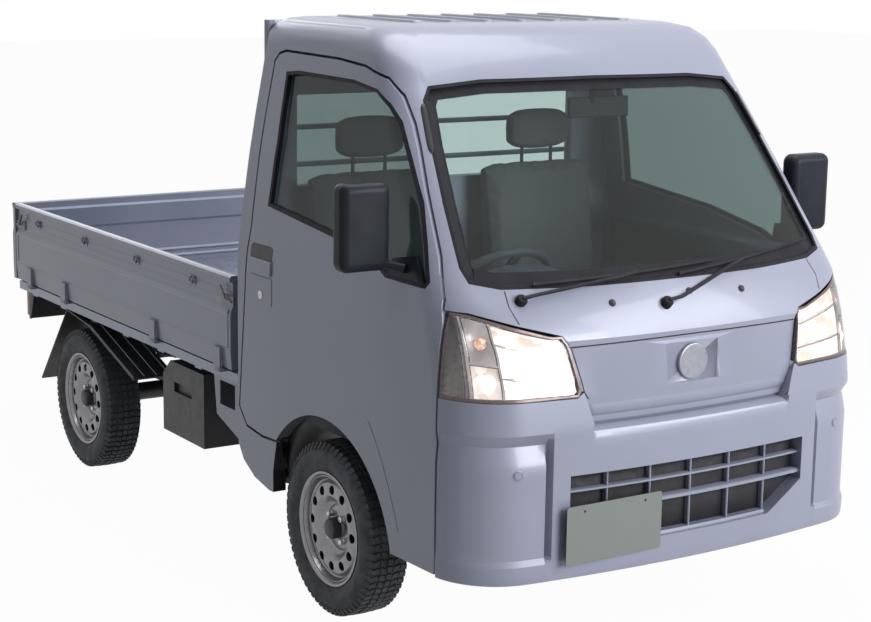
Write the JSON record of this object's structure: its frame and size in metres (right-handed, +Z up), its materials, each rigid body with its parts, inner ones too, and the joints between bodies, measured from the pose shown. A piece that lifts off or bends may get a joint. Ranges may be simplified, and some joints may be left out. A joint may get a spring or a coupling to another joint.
{
  "type": "kei truck",
  "caption": "Small cab-over pickup truck with a hollow cab, hinged doors, fold-down bed gates, steered front wheels and free-rolling wheels.",
  "frame": {"origin": "on the ground, in the middle of the length and width of the truck", "axes": "+Z up, the truck faces -Y and its left side is +X"},
  "size_m": [1.799, 3.408, 1.78],
  "materials": {
    "body_paint": "gloss silver-grey metallic paint",
    "black_plastic": "grained black plastic",
    "mudguard_plastic": "matt black plastic",
    "glass": "clear safety glass with a faint green tint",
    "lamp_lens": "clear lens over a bright reflector",
    "tail_lens": "red and amber lens",
    "chrome": "bright plated",
    "grille_metal": "grey plastic bars",
    "seat_cloth": "dark woven seat cloth",
    "chassis_paint": "black chassis paint",
    "cast_metal": "cast, dull",
    "exhaust_steel": "heat-dulled steel",
    "plate_metal": "blank pale plate",
    "tyre": "worn rubber",
    "wheel_steel": "silver painted steel",
    "wheel_plastic": "fine-grained black plastic"
  },
  "bodies": {
    "root": {"battery_box": "mudguard_plastic", "bed_floor": "body_paint", "bed_headboard": "body_paint", "bumper": "body_paint", "cab_body": "body_paint", "cab_floor": "black_plastic", "dashboard": "black_plastic", "engine": "cast_metal", "exhaust": "exhaust_steel", "frame": "chassis_paint", "front_ornament": "chrome", "front_panel": "body_paint", "front_suspension": "chassis_paint", "fuel_tank": "chassis_paint", "grille": "grille_metal", "guard_frame": "chassis_paint", "headlights": "lamp_lens", "leaf_springs": "chassis_paint", "licence_plates": "plate_metal", "mudguards": "mudguard_plastic", "prop_shaft": "chassis_paint", "radiator": "black_plastic", "rear_axle": "chassis_paint", "rear_bumper": "black_plastic", "rear_window": "glass", "roof": "body_paint", "seats": "seat_cloth", "side_skirts": "body_paint", "spare_carrier": "chassis_paint", "spare_wheel": "tyre", "tail_lamps": "tail_lens", "windscreen": "glass"},
    "door_left": {"door_left": "body_paint", "door_glass_left": "glass", "mirror_left": "black_plastic"},
    "door_right": {"door_right": "body_paint", "door_glass_right": "glass", "mirror_right": "black_plastic"},
    "side_gate_left": {"side_gate_left": "body_paint"},
    "side_gate_right": {"side_gate_right": "body_paint"},
    "tailgate": {"tailgate": "body_paint"},
    "knuckle_left": {"knuckle_left": "chassis_paint"},
    "knuckle_right": {"knuckle_right": "chassis_paint"},
    "steering_wheel": {"steering_wheel": "wheel_plastic"},
    "wheel_front_left": {"tyre_front_left": "tyre", "rim_front_left": "wheel_steel"},
    "wheel_front_right": {"tyre_front_right": "tyre", "rim_front_right": "wheel_steel"},
    "wheel_rear_left": {"tyre_rear_left": "tyre", "rim_rear_left": "wheel_steel"},
    "wheel_rear_right": {"tyre_rear_right": "tyre", "rim_rear_right": "wheel_steel"}
  },
  "joints": [
    {"name": "door_left_hinge", "type": "hinge", "parent": "root", "child": "door_left", "pos_m": [0.719, -1.428, 0.7], "axis": [0, 0, -1], "range_deg": [0, 65]},
    {"name": "door_right_hinge", "type": "hinge", "parent": "root", "child": "door_right", "pos_m": [-0.719, -1.428, 0.7], "axis": [0, 0, 1], "range_deg": [0, 65]},
    {"name": "side_gate_left_fold", "type": "hinge", "parent": "root", "child": "side_gate_left", "pos_m": [0.738, 0.7, 0.632], "axis": [0, 1, 0], "range_deg": [0, 175]},
    {"name": "side_gate_right_fold", "type": "hinge", "parent": "root", "child": "side_gate_right", "pos_m": [-0.738, 0.7, 0.632], "axis": [0, -1, 0], "range_deg": [0, 175]},
    {"name": "tailgate_fold", "type": "hinge", "parent": "root", "child": "tailgate", "pos_m": [0, 1.7005, 0.632], "axis": [-1, 0, 0], "range_deg": [0, 175]},
    {"name": "steer_right", "type": "hinge", "parent": "root", "child": "knuckle_right", "pos_m": [-0.615, -0.856, 0.268], "axis": [0, 0, 1], "range_deg": [-35, 35]},
    {"name": "steer_left", "type": "hinge", "parent": "root", "child": "knuckle_left", "pos_m": [0.615, -0.856, 0.268], "axis": [0, 0, 1], "range_deg": [-35, 35]},
    {"name": "steering_wheel_turn", "type": "hinge", "parent": "root", "child": "steering_wheel", "pos_m": [-0.33, -1.13, 1.01], "axis": [0, 0.7071, 0.7071], "range_deg": [-525, 525]},
    {"name": "wheel_front_left_roll", "type": "hinge", "parent": "knuckle_left", "child": "wheel_front_left", "pos_m": [0.652, -0.856, 0.268], "axis": [1, 0, 0], "continuous": true},
    {"name": "wheel_front_right_roll", "type": "hinge", "parent": "knuckle_right", "child": "wheel_front_right", "pos_m": [-0.652, -0.856, 0.268], "axis": [1, 0, 0], "continuous": true},
    {"name": "wheel_rear_left_roll", "type": "hinge", "parent": "root", "child": "wheel_rear_left", "pos_m": [0.652, 1.044, 0.268], "axis": [1, 0, 0], "continuous": true},
    {"name": "wheel_rear_right_roll", "type": "hinge", "parent": "root", "child": "wheel_rear_right", "pos_m": [-0.652, 1.044, 0.268], "axis": [1, 0, 0], "continuous": true}
  ],
  "couplings": [
    {"joint": "steer_left", "follows": "steer_right", "ratio": 1},
    {"joint": "steering_wheel_turn", "follows": "steer_right", "ratio": 15}
  ]
}
